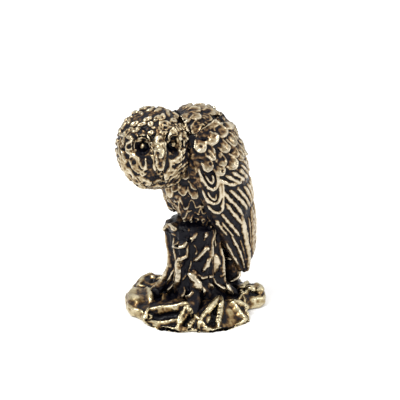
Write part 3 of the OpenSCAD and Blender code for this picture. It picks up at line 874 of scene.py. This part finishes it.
# Broad places rubbed smooth: angle, r, reach in mm, and how much
LEAF_PATCHES = [(-92, 12, 2, 0.45), (-106, 12, 2.4, 0.55), (-122, 12, 2, 0.4), (26, 12, 2.2, 0.9),
                (18, 10.6, 1.5, 0.8), (12, 12.4, 1.4, 0.7), (58, 13, 1.6, 0.5), (72, 13, 1.6, 0.5),
                (-150, 12, 2, 0.3), (120, 12, 2, 0.3)]


def base_outline(points):
    """The radius of the base in each direction, with its narrow notches closed."""
    step = 3
    around = np.degrees(np.arctan2(points[:, 1], points[:, 0]))
    bins = np.round(around / step).astype(int) % (360 // step)
    widest = np.zeros(360 // step)
    np.maximum.at(widest, bins, np.hypot(points[:, 0], points[:, 1]))
    grown = np.max([np.roll(widest, k) for k in (-1, 0, 1)], axis=0)
    closed = np.min([np.roll(grown, k) for k in (-1, 0, 1)], axis=0)
    return np.mean([np.roll(closed, k) for k in (-1, 0, 1)], axis=0)


def base_apron(nodes):
    """A low solid that fills the wall under the leaves, so that they read as one casting."""
    points = np.concatenate([[v.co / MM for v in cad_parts[n].data.vertices] for n in nodes])
    radii = base_outline(points)
    turns = np.linspace(0, math.tau, len(radii), endpoint=False)
    rings = []
    for z, inset in ((0.0, 0.35), (0.4, 0.08), (2.2, 0.1), (2.9, 0.7)):
        rings.append([((r - inset) * math.cos(t), (r - inset) * math.sin(t), z)
                      for r, t in zip(radii, turns)])
    return loft(rings)


def slope_front(co):
    """Brings the two front leaves down to a slope that ends at the floor."""
    out = np.hypot(co[:, 0], co[:, 1])
    angle = np.degrees(np.arctan2(co[:, 1], co[:, 0]))
    front = np.clip((angle + 78) / 10, 0, 1) * np.clip((44 - angle) / 8, 0, 1)
    slope = 4.9 - 0.68 * (out - 7)
    lowered = np.minimum(co[:, 2], np.maximum(slope, 0.35))
    co = co.copy()
    co[:, 2] += front * (lowered - co[:, 2])
    return co


def make_base():
    nodes = ["ground_plate"] + [f"leaf_{k}" for k in range(1, 8)]
    clay = Clay("leaf_base", nodes, sink=0.3, extra=[base_apron(nodes)], reshape=slope_front)
    out = np.hypot(clay.co[:, 0], clay.co[:, 1])
    top = np.clip((clay.no[:, 2] - 0.2) / 0.4, 0, 1)
    for radius, depth, points in LEAF_HOLLOWS:
        clay.bar([on_base(clay, *p) for p in points], radius, -depth)
    clay.height -= 0.3 * top * np.clip(noise(clay.co, 2.6, 14) + 0.2, 0, 1)
    clay.settle(3)
    for radius, height, points in LEAF_LINES:
        clay.fold([on_base(clay, *p) for p in points], radius, height)
    # fans of ribs on the leaves that the front view hides
    for middle in (163, 120):
        for spread in (-15, -5, 6, 16):
            points = [(middle + spread * s, r) for s, r in ((0.3, 7.4), (0.6, 9.2), (0.9, 11), (1, 12.6))]
            clay.bar([on_base(clay, *p) for p in points], 0.4, 0.7)
        clay.bar([on_base(clay, middle + d, 12.7) for d in (-18, -9, 0, 9, 18)], 0.45, 0.6)
    # small ring at the left of the front
    clay.ring(on_base(clay, -71, 12.2), np.array([1.0, 0, 0]), 1.7, 1.7, 0.8, hollow=0.9)
    # rough wall, worn pale
    wall = (1 - top) * np.clip((out - 10.5) / 1.5, 0, 1)
    lumps = noise(clay.co * np.array([1, 1, 1.4]), 1.3, 15)
    clay.height = np.maximum(clay.height, wall * (0.28 + 0.22 * lumps))
    clay.roughen(0.5)
    clay.height *= np.clip(clay.co[:, 2] / 0.4, 0, 1)
    clay.settle()
    # nothing goes below the floor
    clay.co[:, 2] = np.maximum(clay.co[:, 2], 0)
    clay.refresh()
    low = np.exp(-((clay.co[:, 2] - 0.5) / 0.5) ** 2) * np.clip((out - 10.5) / 1.5, 0, 1)
    clay.bias += 0.3 * wall + 0.6 * low
    for angle, r, reach, lift in LEAF_PATCHES:
        distance = np.linalg.norm(clay.co - on_base(clay, angle, r), axis=1)
        clay.bias += lift * np.exp(-(distance / reach) ** 2)
    return clay


# ---------- build ----------

def paint_seam_shade(clays):
    """Darkens each piece along its seams with the others: painted shade where the pieces crowd each other,
    together with the black patina that such creases hold.
    """
    for clay in clays:
        if clay.name.endswith("eye"):
            continue
        nearest = np.full(len(clay.co), CREVICE)
        for other in clays:
            if other is clay or {clay.name, other.name} == {"left_wing", "right_wing"}:
                continue
            low, high = other.co.min(0) - CREVICE, other.co.max(0) + CREVICE
            for i in np.flatnonzero(np.all((clay.co > low) & (clay.co < high), axis=1)):
                distance = other.bvh.find_nearest(Vector(clay.co[i]), CREVICE)[3]
                if distance is not None:
                    nearest[i] = min(nearest[i], distance)
        # painted shade and patina: the relief drops near another piece
        clay.relief = clay.relief - 0.9 * (1 - nearest / CREVICE) ** 1.5


# Each piece, its material, and the record's slot that it stands for
PIECES = [
    (make_base(), "yellow_brass", "aged_brass"),
    (make_stump(), "aged_brass", "aged_brass"),
    (make_torso(), "aged_brass", "aged_brass"),
    (make_tail(), "aged_brass", "aged_brass"),
    (make_wing("left", 1), "aged_brass", "aged_brass"),
    (make_wing("right", -1), "aged_brass", "aged_brass"),
    (make_head(), "pale_brass", "aged_brass"),
    (make_eye("left_eye"), "dark_brass", "dark_brass"),
    (make_eye("right_eye"), "dark_brass", "dark_brass"),
    (make_foot("left_foot"), "dark_brass", "dark_brass"),
    (make_foot("right_foot"), "dark_brass", "dark_brass"),
]
for clay, _, _ in PIECES:
    clay.mark_relief()
# painted shade and patina along the seams between pieces
paint_seam_shade([clay for clay, _, _ in PIECES])
for clay, material, slot in PIECES:
    clay.finish(material, slot)


# ---------- studio ----------

def plain_material(name, colour, roughness):
    material = bpy.data.materials.new(name)
    material.use_nodes = True
    shader = material.node_tree.nodes["Principled BSDF"]
    shader.inputs["Base Color"].default_value = (*colour, 1)
    shader.inputs["Roughness"].default_value = roughness
    return material


def make_floor(reach=1.5):
    """A plain pale floor that goes reach metres out each way."""
    mesh = bpy.data.meshes.new("floor")
    corners = [(-reach, -reach, 0), (reach, -reach, 0), (reach, reach, 0), (-reach, reach, 0)]
    mesh.from_pydata(corners, [], [(0, 1, 2, 3)])
    mesh.materials.append(plain_material("pale_floor", (0.93, 0.93, 0.93), 0.6))
    floor = bpy.data.objects.new("floor", mesh)
    bpy.context.scene.collection.objects.link(floor)


def make_surroundings():
    """White light from all round, stronger from above."""
    world = bpy.data.worlds.new("studio")
    world.use_nodes = True
    nodes, links = world.node_tree.nodes, world.node_tree.links
    way = nodes.new("ShaderNodeTexCoord")
    split = nodes.new("ShaderNodeSeparateXYZ")
    strength = nodes.new("ShaderNodeMapRange")
    for socket, value in (("From Min", -0.05), ("From Max", 0.8), ("To Min", 0.5), ("To Max", 1.3)):
        strength.inputs[socket].default_value = value
    nodes["Background"].inputs["Color"].default_value = (1, 1, 1, 1)
    links.new(way.outputs["Generated"], split.inputs[0])
    links.new(split.outputs["Z"], strength.inputs["Value"])
    links.new(strength.outputs[0], nodes["Background"].inputs["Strength"])
    bpy.context.scene.world = world


def area_light(name, place, target, size, power):
    data = bpy.data.lights.new(name, "AREA")
    data.shape = "DISK"
    data.size = size
    data.energy = power
    lamp = bpy.data.objects.new(name, data)
    lamp.location = place
    lamp.rotation_euler = (Vector(target) - Vector(place)).to_track_quat("-Z", "Y").to_euler()
    bpy.context.scene.collection.objects.link(lamp)


def make_camera(place, axes):
    """A long lens at place, its axes given as rightward, upward and back towards it."""
    lens = bpy.data.cameras.new("camera")
    lens.lens = 135
    lens.sensor_width = 36
    lens.clip_start = 0.01
    camera = bpy.data.objects.new("camera", lens)
    camera.matrix_world = Matrix.Translation(place) @ Matrix(axes).transposed().to_4x4()
    bpy.context.scene.collection.objects.link(camera)
    bpy.context.scene.camera = camera


AZIMUTH, ELEVATION = math.radians(65), math.radians(20)
DISTANCE = 0.3
toward = Vector((math.sin(AZIMUTH) * math.cos(ELEVATION), -math.cos(AZIMUTH) * math.cos(ELEVATION),
                 math.sin(ELEVATION)))
rightward = Vector((math.cos(AZIMUTH), math.sin(AZIMUTH), 0))
upward = toward.cross(rightward)
aim = rightward * 1.2 * MM + upward * 21 * MM

make_floor()
make_surroundings()
area_light("key", aim + toward * 0.3 + rightward * -0.25 + upward * 0.35, aim, 0.25, 2.0)
area_light("fill", aim + toward * 0.2 + rightward * 0.35 + upward * 0.1, aim, 0.2, 0.4)
make_camera(aim + toward * DISTANCE, (rightward, upward, toward))
bpy.context.scene.view_settings.view_transform = "Standard"
